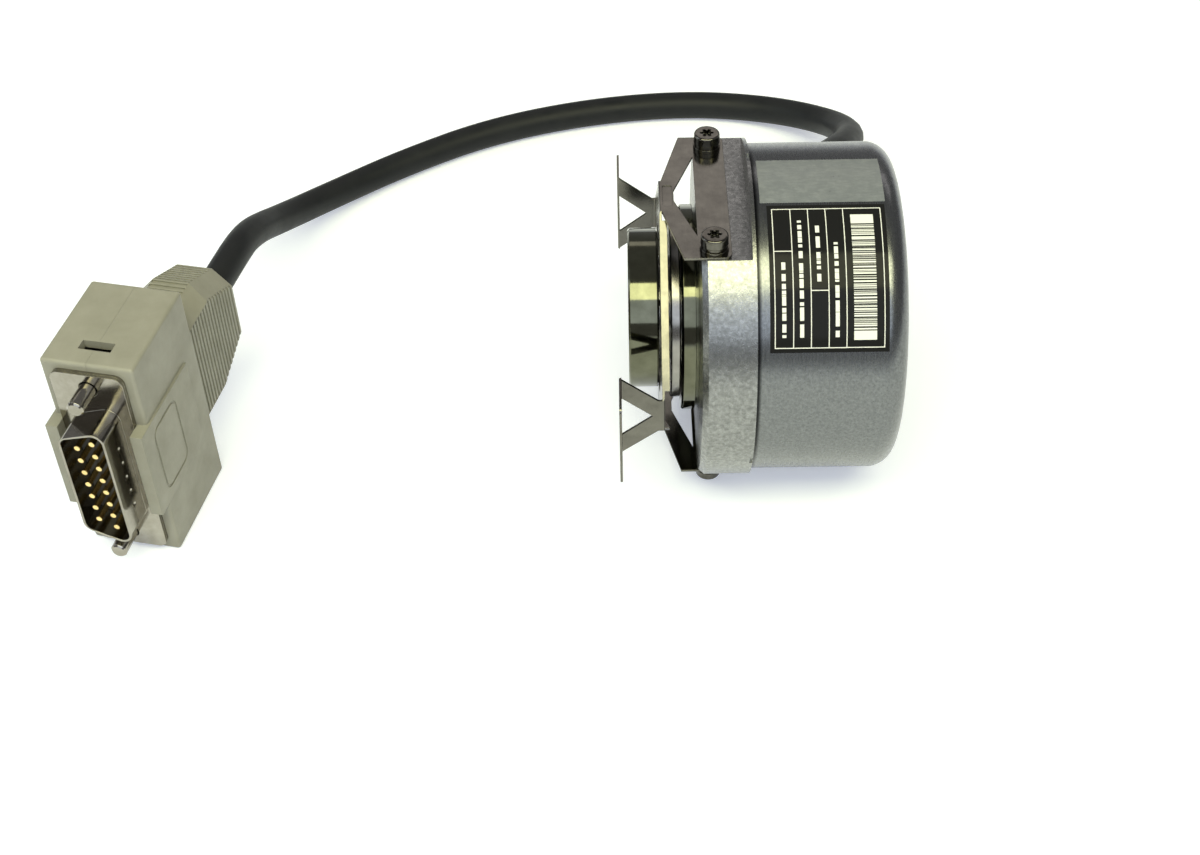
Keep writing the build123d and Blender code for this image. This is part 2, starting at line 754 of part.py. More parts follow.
# Disc hub on the shaft's tail, and the graduated glass disc
hub_boss = shaft_tail + hub_rim
with BuildPart() as disc_hub:
    with BuildSketch(Plane.XZ):
        band(bearing_rear, disc_x, shaft_tail + press_gap, hub_radius)
        band(disc_x, disc_rear + hub_rim, shaft_tail + press_gap, hub_boss)
    revolve(axis=Axis.X)
disc_hub.part.label = "disc_hub"
export_step(disc_hub.part, "parts/disc_hub.step")

with BuildPart() as graduated_disc:
    with BuildSketch(Plane.XZ):
        band(disc_x, disc_rear, hub_boss + press_gap, disc_radius)
    revolve(axis=Axis.X)
graduated_disc.part.label = "graduated_disc"
export_step(graduated_disc.part, "parts/graduated_disc.step")

# Scanning unit: holder with the light source and its lens, reticle, detector and detector board
holder_rear = disc_x - light_disc_gap
holder_front = holder_rear - light_depth
light_seat = holder_rear - light_depth / 2
track_plane = Plane(origin=(0, 0, track_radius), x_dir=(1, 0, 0), z_dir=(0, -1, 0))
with BuildPart() as light_holder:
    with BuildSketch(across(holder_front)):
        with Locations((0, boss_radius + (light_height - light_overlap) / 2)):
            Rectangle(light_width, light_height + light_overlap)
        Circle(boss_radius + press_gap, mode=Mode.SUBTRACT)
    extrude(amount=light_depth)
    with BuildSketch(across(light_seat)):
        with Locations((0, track_radius)):
            Circle(lens_radius + press_gap)
    extrude(amount=light_depth, mode=Mode.SUBTRACT)
light_holder.part.label = "light_holder"
export_step(light_holder.part, "parts/light_holder.step")

lens_seat = light_seat + light_depth / 4
with BuildPart() as condenser_lens:
    with BuildSketch(track_plane):
        with BuildLine():
            Line((lens_seat, lens_radius), (lens_seat, 0))
            Line((lens_seat, 0), (holder_rear + lens_bulge, 0))
            ThreePointArc((holder_rear + lens_bulge, 0),
                          (holder_rear + lens_waist, lens_radius / 2),
                          (holder_rear, lens_radius))
            Line((holder_rear, lens_radius), (lens_seat, lens_radius))
        make_face()
    revolve(axis=Axis((0, 0, track_radius), (1, 0, 0)))
condenser_lens.part.label = "condenser_lens"
export_step(condenser_lens.part, "parts/condenser_lens.step")

with BuildPart() as light_source:
    with BuildSketch(track_plane):
        band(light_seat, light_seat + light_window, 0, lens_radius)
        band(light_seat, lens_seat - press_gap, 0, lens_radius / 2)
    revolve(axis=Axis((0, 0, track_radius), (1, 0, 0)))
light_source.part.label = "light_source"
export_step(light_source.part, "parts/light_source.step")

reticle_x = disc_rear + reticle_gap
with BuildPart() as scanning_reticle:
    with BuildSketch(across(reticle_x)):
        with Locations((0, track_radius)):
            Rectangle(reticle_width, reticle_height)
    extrude(amount=reticle_thickness)
scanning_reticle.part.label = "scanning_reticle"
export_step(scanning_reticle.part, "parts/scanning_reticle.step")

chip_x = reticle_x + reticle_thickness
with BuildPart() as detector_chip:
    with BuildSketch(across(chip_x)):
        with Locations((0, track_radius)):
            Rectangle(reticle_width + chip_margin, reticle_height + chip_margin)
    extrude(amount=chip_thickness)
detector_chip.part.label = "detector_chip"
export_step(detector_chip.part, "parts/detector_chip.step")

detector_board_x = chip_x + chip_thickness
detector_board_z = track_radius - detector_board_drop
with BuildPart() as detector_board:
    with BuildSketch(across(detector_board_x)):
        with Locations((0, detector_board_z)):
            RectangleRounded(detector_board_width, detector_board_height, detector_board_corner)
    extrude(amount=detector_board_thickness)
detector_board.part.label = "detector_board"
export_step(detector_board.part, "parts/detector_board.step")

detector_header_x = detector_board_x + detector_board_thickness
detector_header_z = detector_board_z - detector_board_height / 2 + detector_header_height / 2
with BuildPart() as detector_header:
    with BuildSketch(across(detector_header_x)):
        with Locations((0, detector_header_z)):
            Rectangle(detector_header_width, detector_header_height)
    extrude(amount=board_x - detector_header_x)
detector_header.part.label = "detector_header"
export_step(detector_header.part, "parts/detector_header.step")

# Main board on its four posts, with its screws, chips and cable header
post_places = [
    (post_circle * cos(radians(angle)), post_circle * sin(radians(angle))) for angle in post_angles
]
board_rear = board_x + board_thickness
with BuildPart() as board_posts:
    with BuildSketch(across(flange_rear)):
        with Locations(*post_places):
            Circle(post_radius)
    extrude(amount=board_x - flange_rear)
    with BuildSketch(across(board_x)):
        with Locations(*post_places):
            Circle(board_screw_radius)
    extrude(amount=-board_screw_length, mode=Mode.SUBTRACT)
board_posts.part.label = "board_posts"
export_step(board_posts.part, "parts/board_posts.step")

with BuildPart() as main_board:
    with BuildSketch(across(board_x)):
        Circle(board_radius)
        with Locations((board_radius, 0)):
            Rectangle(2 * board_notch_depth, board_notch_width, mode=Mode.SUBTRACT)
        with Locations(*post_places):
            Circle(board_screw_radius + washer_bore_clearance, mode=Mode.SUBTRACT)
    extrude(amount=board_thickness)
main_board.part.label = "main_board"
export_step(main_board.part, "parts/main_board.step")

with BuildPart() as board_screws:
    with BuildSketch(across(board_rear)):
        with Locations(*post_places):
            Circle(board_screw_head_radius)
    extrude(amount=board_screw_head_height)
    with BuildSketch(across(board_rear)):
        with Locations(*post_places):
            Circle(board_screw_radius - press_gap)
    extrude(amount=-(board_screw_length + board_thickness - running_gap))
board_screws.part.label = "board_screws"
export_step(board_screws.part, "parts/board_screws.step")

with BuildPart() as board_chips:
    with BuildSketch(across(board_rear)):
        Rectangle(processor_size, processor_size)
    extrude(amount=processor_height)
    with BuildSketch(across(board_rear)):
        with Locations((-driver_offset, 0), (0, driver_offset), (0, -driver_offset)):
            Rectangle(driver_width, driver_length)
    extrude(amount=driver_height)
    with BuildSketch(across(board_rear)):
        with Locations((driver_offset, driver_offset / 2), (driver_offset, -driver_offset / 2)):
            Circle(can_radius)
    extrude(amount=can_height)
board_chips.part.label = "board_chips"
export_step(board_chips.part, "parts/board_chips.step")

header_y = cable_inner_end - running_gap - header_height / 2
with BuildPart() as cable_header:
    with BuildSketch(across(board_x)):
        with Locations((header_y, 0)):
            Rectangle(header_height, header_width)
    extrude(amount=-header_depth)
cable_header.part.label = "cable_header"
export_step(cable_header.part, "parts/cable_header.step")

# Cable gland with its tapered sleeve, and the clamp of the cable's shield
cable_axis = Axis((cable_x, 0, 0), (0, 1, 0))
gland_sketch_plane = Plane(origin=(cable_x, 0, 0), x_dir=(0, 1, 0), z_dir=(0, 0, 1))
gland_seat = sqrt(cap_inner ** 2 - gland_flange ** 2) - seat_gap
sleeve_start = cap_radius + gland_clearance
with BuildPart() as cable_gland:
    with BuildSketch(gland_sketch_plane):
        band(gland_seat - gland_flange_thickness, gland_seat, cable_radius + press_gap, gland_flange)
        band(gland_seat, sleeve_start, cable_radius + press_gap, gland_neck)
        with BuildLine():
            Polyline((sleeve_start, cable_radius + press_gap), (sleeve_start, gland_root),
                     (sleeve_start + gland_collar, gland_root), (sleeve_start + gland_length, gland_tip),
                     (sleeve_start + gland_length, cable_radius + press_gap), close=True)
        make_face()
    revolve(axis=cable_axis)
cable_gland.part.label = "cable_gland"
export_step(cable_gland.part, "parts/cable_gland.step")

shield_end = gland_seat - gland_flange_thickness - press_gap
with BuildPart() as shield_clamp:
    with BuildSketch(gland_sketch_plane):
        band(shield_end - shield_length, shield_end, cable_radius + press_gap, cable_radius + shield_wall)
    revolve(axis=cable_axis)
shield_clamp.part.label = "shield_clamp"
export_step(shield_clamp.part, "parts/shield_clamp.step")

# Signal cable: out of the gland, down to the floor, round behind the encoder and to the connector
cable_floor = floor_z + cable_radius
entry_rear = hood_front + hood_length + entry_length
cable_route = [
    (cable_x, cable_inner_end, 0), (cable_x, 42, 0), (46, 57.5, -7), (49.5, 73, -15), (45.5, 87.5, -21.5),
    (33.5, 98.3, -25.5), (15.2, 101.5, cable_floor), (-7, 98.8, cable_floor), (-28.5, 91.7, cable_floor),
    (-46.5, 80.5, cable_floor), (-60.5, 68, -25), (-69, 52.5, -19.5), (-72, 38, -11.5),
]
plug_stretch = [at_plug(0, cable_straight), at_plug(0, entry_rear - cable_inside)]
route = [Vector(*point) for point in cable_route] + plug_stretch
route_radii = []
for before, corner, after in zip(route, route[1:], route[2:]):
    turn = radians((corner - before).get_angle(after - corner))
    shorter = min((corner - before).length, (after - corner).length)
    route_radii.append(bend_share * shorter / tan(turn / 2))
with BuildPart() as signal_cable:
    with BuildLine():
        cable_line = FilletPolyline(*route, radius=route_radii)
    with BuildSketch(Plane(origin=route[0], z_dir=route[1] - route[0])):
        Circle(cable_radius)
    sweep()
signal_cable.part.label = "signal_cable"
export_step(signal_cable.part, "parts/signal_cable.step")
cable_length = cable_line.length
print("cable bend radii", [round(radius, 1) for radius in route_radii])
print("cable length", round(cable_length, 1), "volume", round(signal_cable.part.volume, 1),
      "section times length", round(pi * cable_radius ** 2 * cable_length, 1))

# Hood of the plug in two halves, joined at the middle of its thickness
hood_rear = hood_front + hood_length
hood_half = hood_height / 2
entry_half = entry_height / 2
chamber_half = entry_half - entry_wall
flange_face = hood_front - 2 * flange_plate
lock_places = {"upper": -lock_pitch / 2, "lower": lock_pitch / 2}
plug_thick = Axis(seam.origin, seam.z_dir)
plug_along = Axis(seam.origin, seam.y_dir)
entry_outline = [
    (-entry_width / 2, hood_rear - hood_wall), (entry_width / 2, hood_rear - hood_wall),
    (entry_width / 2, entry_rear - entry_taper_length), (entry_tip_width / 2, entry_rear),
    (-entry_tip_width / 2, entry_rear), (-entry_width / 2, entry_rear - entry_taper_length),
]
rib_rows = [(0, hood_rear + rib_first + row * rib_pitch) for row in range(rib_count)]


def d_corners(grow):
    """Centres of the four corner circles of the D outline, grown by an offset."""
    half = shell_width / 2 + grow
    tall = shell_height / 2 + grow
    lean = 2 * tall * tan(radians(shell_slant))
    inset = shell_corner + grow
    return [(half - inset, tall - inset), (inset - half, tall - inset),
            (half - lean - inset, inset - tall), (inset + lean - half, inset - tall)]


def narrowed(outline, step):
    """An outline that is the same on both sides of its own y axis, brought in by a step on each side."""
    return [(x - step if x > 0 else x + step, y) for x, y in outline]


with BuildPart() as connector_hood_right:
    with BuildSketch(seam):
        with Locations((0, hood_front + hood_length / 2)):
            Rectangle(hood_width, hood_length)
    extrude(amount=hood_half)
    side_edges = connector_hood_right.edges().filter_by(plug_thick)
    top_edges = connector_hood_right.faces().sort_by(plug_thick)[-1].edges()
    fillet(side_edges + top_edges, hood_edge)
    with BuildSketch(seam):
        Polygon(*entry_outline, align=None)
    extrude(amount=entry_half)
    entry_top = connector_hood_right.faces().filter_by(seam).filter_by(
        lambda face: abs(seam.to_local_coords(face.center()).Z - entry_half) < 0.01)[0]
    entry_edges = entry_top.edges().filter_by(
        lambda edge: abs(seam.to_local_coords(edge.center()).X) > entry_tip_width / 4)
    chamfer(entry_edges, entry_chamfer)
    with BuildSketch(seam):
        with Locations(*rib_rows):
            Rectangle(entry_width + 2 * break_through, rib_pitch / 2)
        Polygon(*narrowed(entry_outline, rib_depth), align=None, mode=Mode.SUBTRACT)
    extrude(amount=entry_half - entry_chamfer, mode=Mode.SUBTRACT)
    with BuildSketch(seam.offset(entry_half)):
        with Locations(*rib_rows):
            Rectangle(entry_width, rib_pitch / 2)
        Polygon(*narrowed(entry_outline, entry_chamfer), align=None, mode=Mode.INTERSECT)
    extrude(amount=-rib_depth, mode=Mode.SUBTRACT)
    with BuildSketch(seam):
        with Locations((0, hood_front + hood_length / 2)):
            Rectangle(hood_width - 2 * hood_wall, hood_length - 2 * hood_wall)
    extrude(amount=hood_half - hood_wall, mode=Mode.SUBTRACT)
    chamber_rear = entry_rear - entry_wall
    chamber_front = hood_rear - 2 * hood_wall
    with BuildSketch(seam):
        with Locations((0, (chamber_front + chamber_rear) / 2)):
            Rectangle(entry_tip_width - 2 * entry_wall, chamber_rear - chamber_front)
    extrude(amount=chamber_half, mode=Mode.SUBTRACT)
    with BuildSketch(nose(0, entry_rear + break_through)):
        Circle(cable_radius + press_gap)
    extrude(amount=entry_wall + 2 * break_through, mode=Mode.SUBTRACT)
    with BuildSketch(nose(0, hood_front + hood_wall + break_through)):
        with Locations(*d_corners(2 * shell_wall)):
            Circle(shell_corner + 2 * shell_wall)
        make_hull()
    extrude(amount=hood_wall + 2 * break_through, mode=Mode.SUBTRACT)
    for lock_x in lock_places.values():
        with BuildSketch(nose(lock_x, hood_rear)):
            Circle(lock_head_radius + lock_head_clearance)
        extrude(amount=2 * hood_wall, mode=Mode.SUBTRACT)
        with BuildSketch(nose(lock_x, hood_front + 2 * hood_wall)):
            Circle(lock_radius + lock_head_clearance)
        extrude(amount=2 * hood_wall, mode=Mode.SUBTRACT)
    with BuildSketch(seam):
        with Locations((0, hood_front + slot_setback + slot_length / 2)):
            Rectangle(hood_width + 2 * break_through, slot_length)
            Rectangle(hood_width - 2 * slot_depth, slot_length, mode=Mode.SUBTRACT)
    extrude(amount=slot_height / 2, mode=Mode.SUBTRACT)
    with BuildSketch(seam.offset(flange_plate_height / 2 + insulator_clearance)):
        with Locations((0, hood_front - tab_length / 2 + tab_root)):
            Rectangle(tab_width, tab_length + 2 * tab_root)
    extrude(amount=hood_half + panel_height - flange_plate_height / 2 - insulator_clearance)
    with BuildSketch(seam.offset(hood_half)):
        with Locations((0, hood_front + panel_length / 2)):
            Rectangle(tab_width, panel_length)
    extrude(amount=panel_height)
    with BuildSketch(seam.offset(hood_half + panel_height)):
        with Locations((0, hood_front + frame_setback)):
            RectangleRounded(frame_width, frame_length, shell_corner)
            RectangleRounded(frame_width - 2 * frame_line, frame_length - 2 * frame_line,
                             shell_corner - frame_line, mode=Mode.SUBTRACT)
    extrude(amount=-frame_depth, mode=Mode.SUBTRACT)
connector_hood_right.part.label = "connector_hood_right"
export_step(connector_hood_right.part, "parts/connector_hood_right.step")

with BuildPart() as connector_hood_left:
    mirror(connector_hood_right.part, about=seam)
connector_hood_left.part.label = "connector_hood_left"
export_step(connector_hood_left.part, "parts/connector_hood_left.step")

# Rear and front shells of the plug, each a plate with a drawn D, clamped face to face
with BuildPart() as connector_rear_shell:
    with BuildSketch(nose(0, hood_front)):
        RectangleRounded(flange_plate_width, flange_plate_height, flange_plate_corner)
        with Locations((lock_pitch / 2, 0), (-lock_pitch / 2, 0)):
            Circle(lock_hole_radius, mode=Mode.SUBTRACT)
    extrude(amount=flange_plate)
    with BuildSketch(nose(0, hood_front + rear_shell_length)):
        with Locations(*d_corners(shell_wall)):
            Circle(shell_corner + shell_wall)
        make_hull()
    extrude(amount=rear_shell_length)
    with BuildSketch(nose(0, hood_front + rear_shell_length)):
        with Locations(*d_corners(0)):
            Circle(shell_corner)
        make_hull()
    extrude(amount=rear_shell_length + flange_plate, mode=Mode.SUBTRACT)
connector_rear_shell.part.label = "connector_rear_shell"
export_step(connector_rear_shell.part, "parts/connector_rear_shell.step")

dimple_places = [((place - (dimple_count - 1) / 2) * dimple_pitch, 0) for place in range(dimple_count)]
dimple_y = flange_face - dimple_setback
with BuildPart() as connector_front_shell:
    with BuildSketch(nose(0, hood_front - flange_plate)):
        RectangleRounded(flange_plate_width, flange_plate_height, flange_plate_corner)
        with Locations((lock_pitch / 2, 0), (-lock_pitch / 2, 0)):
            Circle(lock_hole_radius, mode=Mode.SUBTRACT)
    extrude(amount=flange_plate)
    with BuildSketch(nose(0, hood_front - flange_plate)):
        with Locations(*d_corners(0)):
            Circle(shell_corner)
        make_hull()
    extrude(amount=flange_plate + shell_length)
    with BuildSketch(nose(0, hood_front - flange_plate)):
        with Locations(*d_corners(-shell_wall)):
            Circle(shell_corner - shell_wall)
        make_hull()
    extrude(amount=flange_plate + shell_length, mode=Mode.SUBTRACT)
    for side in (1, -1):
        wall = at_plug(0, dimple_y, side * (shell_height / 2 + dimple_radius / 2))
        with Locations(Plane(origin=wall, x_dir=seam.x_dir, z_dir=seam.z_dir)):
            with Locations(*dimple_places):
                Sphere(dimple_radius, mode=Mode.SUBTRACT)
connector_front_shell.part.label = "connector_front_shell"
export_step(connector_front_shell.part, "parts/connector_front_shell.step")

# Insulator and its fifteen pins, in two rows half a pitch apart
insulator_grow = -shell_wall - insulator_clearance
insulator_back = hood_front + insulator_rear
insulator_face = flange_face - insulator_front
pin_places = [((place - (pin_long_row - 1) / 2) * pin_pitch, row_pitch / 2) for place in range(pin_long_row)]
pin_places += [((place - (pin_long_row - 2) / 2) * pin_pitch, -row_pitch / 2)
               for place in range(pin_long_row - 1)]
with BuildPart() as connector_insulator:
    with BuildSketch(nose(0, insulator_back)):
        with Locations(*d_corners(insulator_grow)):
            Circle(shell_corner + insulator_grow)
        make_hull()
    extrude(amount=insulator_back - insulator_face)
    with BuildSketch(nose(0, insulator_back)):
        with Locations(*pin_places):
            Circle(pin_radius + press_gap)
    extrude(amount=insulator_back - insulator_face, mode=Mode.SUBTRACT)
connector_insulator.part.label = "connector_insulator"
export_step(connector_insulator.part, "parts/connector_insulator.step")

with BuildPart() as connector_pins:
    with BuildSketch(nose(0, insulator_back + pin_tail)):
        with Locations(*pin_places):
            Circle(pin_radius)
    extrude(amount=insulator_back + pin_tail - flange_face + pin_reach)
connector_pins.part.label = "connector_pins"
export_step(connector_pins.part, "parts/connector_pins.step")

# Two captive lock screws, each with a slotted head in the hood and a thread past the flange
head_rear = hood_rear - lock_head_recess
collar_rear = hood_front + hood_wall + lock_head_clearance + lock_collar_width
for side, lock_x in lock_places.items():
    with BuildPart() as lock_screw:
        with BuildSketch(nose(lock_x, head_rear)):
            Circle(lock_head_radius)
        extrude(amount=lock_head_length)
        with BuildSketch(nose(lock_x, head_rear)):
            Circle(lock_shank_radius)
        extrude(amount=head_rear - collar_rear)
        with BuildSketch(nose(lock_x, collar_rear)):
            Circle(lock_collar_radius)
        extrude(amount=lock_collar_width)
        with BuildSketch(nose(lock_x, collar_rear)):
            Circle(lock_radius)
        extrude(amount=collar_rear - flange_face + lock_reach)
        chamfer(lock_screw.edges().filter_by(GeomType.CIRCLE).sort_by(plug_along)[0], lock_slot / 2)
        with BuildSketch(nose(lock_x, head_rear)):
            Rectangle(2 * lock_head_radius, lock_slot)
        extrude(amount=lock_slot_depth, mode=Mode.SUBTRACT)
    lock_screw.part.label = f"lock_screw_{side}"
    export_step(lock_screw.part, f"parts/lock_screw_{side}.step")

# Clip that holds the cable in the hood
clip_start = chamber_rear - press_gap
with BuildPart() as connector_cable_clip:
    with BuildSketch(nose(0, clip_start)):
        Rectangle(2 * (cable_radius + 2 * clip_wall), 2 * (cable_radius + clip_wall))
        Circle(cable_radius + press_gap, mode=Mode.SUBTRACT)
    extrude(amount=clip_length)
connector_cable_clip.part.label = "connector_cable_clip"
export_step(connector_cable_clip.part, "parts/connector_cable_clip.step")
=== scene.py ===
import logging
import math
from dataclasses import dataclass
from enum import Enum

import bpy
from mathutils import Matrix, Vector


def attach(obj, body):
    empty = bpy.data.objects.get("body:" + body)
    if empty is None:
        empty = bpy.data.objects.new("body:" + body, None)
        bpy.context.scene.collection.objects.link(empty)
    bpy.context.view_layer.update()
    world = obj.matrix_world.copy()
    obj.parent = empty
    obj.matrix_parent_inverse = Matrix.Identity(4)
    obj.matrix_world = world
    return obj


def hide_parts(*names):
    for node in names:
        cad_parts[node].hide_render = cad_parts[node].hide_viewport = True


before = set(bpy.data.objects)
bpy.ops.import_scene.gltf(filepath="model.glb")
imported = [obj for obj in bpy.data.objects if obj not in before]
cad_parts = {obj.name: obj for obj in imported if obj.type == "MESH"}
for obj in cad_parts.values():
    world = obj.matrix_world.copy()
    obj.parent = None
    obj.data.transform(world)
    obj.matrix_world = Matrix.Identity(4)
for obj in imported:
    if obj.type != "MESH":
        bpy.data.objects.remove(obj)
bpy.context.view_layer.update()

logging.basicConfig(level=logging.INFO, format="%(levelname)s %(message)s")
log = logging.getLogger("encoder")

MM = 0.001
Colour = tuple[float, float, float]
Point = tuple[float, float, float]
Socket = bpy.types.NodeSocket
Node = bpy.types.ShaderNode


class Grain(Enum):
    """How a finish's fine marks run, in the row frame."""

    TURNED = "rings round the shaft"
    BRUSHED = "lines round the shaft, broken up along it"
    ROLLED = "long lines across the sheet"
    EVEN = "the same every way"


class Body(Enum):
    """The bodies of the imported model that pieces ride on."""

    HOUSING = "housing"


GRAIN_STRETCH: dict[Grain, Point] = {
    Grain.TURNED: (1.0, 0.03, 0.03),
    Grain.BRUSHED: (1.0, 0.10, 0.10),
    Grain.ROLLED: (1.0, 0.06, 1.0),
    Grain.EVEN: (1.0, 1.0, 1.0),
}


class Graph:
    """A material's nodes, with short methods that add a node and link it."""

    def __init__(self, name: str) -> None:
        """Start an empty material with a Principled shader.

        Args:
            name: The material's name.
        """
        self.material = bpy.data.materials.new(name)
        self.material.use_nodes = True
        self.tree = self.material.node_tree
        self.shader = self.tree.nodes["Principled BSDF"]

    def node(self, kind: str, **settings: object) -> Node:
        """Add a node.

        Args:
            kind: The node's Blender type.
            settings: Attributes set on it.

        Returns:
            The new node.
        """
        made = self.tree.nodes.new(kind)
        for key, value in settings.items():
            setattr(made, key, value)
        return made

    def link(self, source: Socket, target: Socket) -> None:
        """Link one socket to another."""
        self.tree.links.new(source, target)

    def set(self, socket: str, value: float | tuple[float, ...]) -> None:
        """Set a constant on the Principled shader's own socket.

        Args:
            socket: The socket's name.
            value: The constant.
        """
        self.shader.inputs[socket].default_value = value

    def place(self, stretch: Point = (1.0, 1.0, 1.0), offset: Point = (0.0, 0.0, 0.0)) -> Socket:
        """Object coordinates in millimetres.

        Args:
            stretch: A factor for each axis.
            offset: Where the pattern's own origin lies, in metres.

        Returns:
            The vector socket.
        """
        coordinates = self.node("ShaderNodeTexCoord")
        mapping = self.node("ShaderNodeMapping")
        mapping.inputs["Scale"].default_value = tuple(1000.0 * part for part in stretch)
        shift = tuple(-1000.0 * part * step for part, step in zip(offset, stretch))
        mapping.inputs["Location"].default_value = shift
        self.link(coordinates.outputs["Object"], mapping.inputs["Vector"])
        return mapping.outputs["Vector"]

    def noise(self, where: Socket, scale: float, detail: float = 3.0, rough: float = 0.55) -> Socket:
        """Noise from 0 to 1.

        Args:
            where: The coordinates.
            scale: Cells per unit.
            detail: Octaves.
            rough: How strong the finer octaves are.

        Returns:
            The factor socket.
        """
        noise = self.node("ShaderNodeTexNoise")
        noise.inputs["Scale"].default_value = scale
        noise.inputs["Detail"].default_value = detail
        noise.inputs["Roughness"].default_value = rough
        self.link(where, noise.inputs["Vector"])
        return noise.outputs["Fac"]

    def spread(self, value: Socket, low: float, high: float, start: float = 0.3, end: float = 0.7) -> Socket:
        """Map a factor onto a range.

        Args:
            value: The factor.
            low: The result at start.
            high: The result at end.
            start: Where the range starts.
            end: Where it ends.

        Returns:
            The mapped socket.
        """
        mapped = self.node("ShaderNodeMapRange")
        for name, number in (("From Min", start), ("From Max", end), ("To Min", low), ("To Max", high)):
            mapped.inputs[name].default_value = number
        self.link(value, mapped.inputs["Value"])
        return mapped.outputs["Result"]

    def mix(self, factor: Socket, first: Colour | Socket, second: Colour | Socket) -> Socket:
        """Mix two colours by a factor.

        Args:
            factor: 0 gives the first colour and 1 the second.
            first: A colour or a colour socket.
            second: A colour or a colour socket.

        Returns:
            The mixed colour socket.
        """
        mixed = self.node("ShaderNodeMix", data_type="RGBA")
        self.link(factor, mixed.inputs["Factor"])
        for slot, colour in ((6, first), (7, second)):
            if isinstance(colour, tuple):
                mixed.inputs[slot].default_value = (*colour, 1.0)
            else:
                self.link(colour, mixed.inputs[slot])
        return mixed.outputs[2]

    def math(self, operation: str, *values: float | Socket) -> Socket:
        """A Math node.

        Args:
            operation: Its operation.
            values: Numbers or sockets, in order.

        Returns:
            The value socket.
        """
        worked = self.node("ShaderNodeMath", operation=operation)
        for slot, value in enumerate(values):
            if isinstance(value, (int, float)):
                worked.inputs[slot].default_value = value
            else:
                self.link(value, worked.inputs[slot])
        return worked.outputs["Value"]

    def bump(self, height: Socket, distance: float, onto: Socket | None = None) -> Socket:
        """A Bump node.

        Args:
            height: The height from 0 to 1.
            distance: The real height in metres.
            onto: Another bump's normal that this one adds to.

        Returns:
            The normal socket.
        """
        bumped = self.node("ShaderNodeBump")
        bumped.inputs["Distance"].default_value = distance
        self.link(height, bumped.inputs["Height"])
        if onto is not None:
            self.link(onto, bumped.inputs["Normal"])
        return bumped.outputs["Normal"]

    def worn_edge(self, radius: float) -> Socket:
        """The normal of a surface whose sharp edges look rounded.

        Args:
            radius: The rounding in millimetres.

        Returns:
            The normal socket.
        """
        rounded = self.node("ShaderNodeBevel", samples=6)
        rounded.inputs["Radius"].default_value = radius * MM
        return rounded.outputs["Normal"]

    def colour(self, socket: Socket) -> None:
        """Link a colour to the shader's base colour."""
        self.link(socket, self.shader.inputs["Base Color"])

    def roughness(self, socket: Socket) -> None:
        """Link a value to the shader's roughness."""
        self.link(socket, self.shader.inputs["Roughness"])

    def normal(self, socket: Socket) -> None:
        """Link a normal to the shader."""
        self.link(socket, self.shader.inputs["Normal"])


@dataclass(frozen=True)
class Metal:
    """A bare metal finish.

    Attributes:
        name: The finish's name.
        colour: Its reflection colour.
        dark: The colour in its duller patches.
        roughness: The lowest and highest roughness.
        grain: How its fine marks run.
        grain_scale: Marks per millimetre.
        depth: The marks' depth in millimetres.
        patch_scale: Duller patches per millimetre.
        edge: How far its sharp edges look rounded, in millimetres.
        seam_shade: Where painted shade darkens the joint at a step between two parts, from and to along the
            shaft in millimetres, if it has one.
    """

    name: str
    colour: Colour
    dark: Colour
    roughness: tuple[float, float]
    grain: Grain = Grain.EVEN
    grain_scale: float = 6.0
    depth: float = 0.004
    patch_scale: float = 0.35
    edge: float = 0.12
    seam_shade: tuple[float, float] | None = None

    def material(self) -> bpy.types.Material:
        """Build the material.

        Returns:
            The new material.
        """
        graph = Graph(self.name)
        graph.set("Metallic", 1.0)
        patches = graph.noise(graph.place(), self.patch_scale, 4.0, 0.6)
        marks = graph.noise(graph.place(GRAIN_STRETCH[self.grain]), self.grain_scale, 4.0, 0.6)
        tone = graph.mix(graph.spread(patches, 0.0, 1.0), self.colour, self.dark)
        # Painted shade: near black before the first place along the shaft, fading back to the tone by the
        # second, as the shadow in the joint at a step.
        if self.seam_shade is not None:
            split = graph.node("ShaderNodeSeparateXYZ")
            graph.link(graph.place(), split.inputs["Vector"])
            start, end = self.seam_shade
            unshaded = graph.spread(split.outputs["X"], 0.0, 1.0, start, end)
            tone = graph.mix(unshaded, tuple(0.15 * part for part in self.dark), tone)
        graph.colour(tone)
        both = graph.math("ADD", graph.math("MULTIPLY", patches, 0.4), graph.math("MULTIPLY", marks, 0.6))
        graph.roughness(graph.spread(both, *self.roughness))
        graph.normal(graph.bump(marks, self.depth * MM, onto=graph.worn_edge(self.edge)))
        return graph.material


@dataclass(frozen=True)
class Moulded:
    """A moulded plastic, rubber or lacquer finish.

    Attributes:
        name: The finish's name.
        colour: Its colour.
        shade: The colour of its faint patches.
        roughness: The lowest and highest roughness.
        grain_scale: Bumps of the mould's grain per millimetre.
        depth: Their depth in millimetres.
        specular: The shader's specular level.
        edge: How far its sharp edges look rounded, in millimetres.
    """

    name: str
    colour: Colour
    shade: Colour
    roughness: tuple[float, float]
    grain_scale: float = 5.0
    depth: float = 0.01
    specular: float = 0.5
    edge: float = 0.2

    def material(self) -> bpy.types.Material:
        """Build the material.

        Returns:
            The new material.
        """
        graph = Graph(self.name)
        graph.set("Specular IOR Level", self.specular)
        patches = graph.noise(graph.place(), 0.18, 5.0, 0.6)
        grain = graph.noise(graph.place(), self.grain_scale, 2.0, 0.5)
        graph.colour(graph.mix(graph.spread(patches, 0.0, 1.0), self.colour, self.shade))
        graph.roughness(graph.spread(patches, *self.roughness))
        graph.normal(graph.bump(grain, self.depth * MM, onto=graph.worn_edge(self.edge)))
        return graph.material


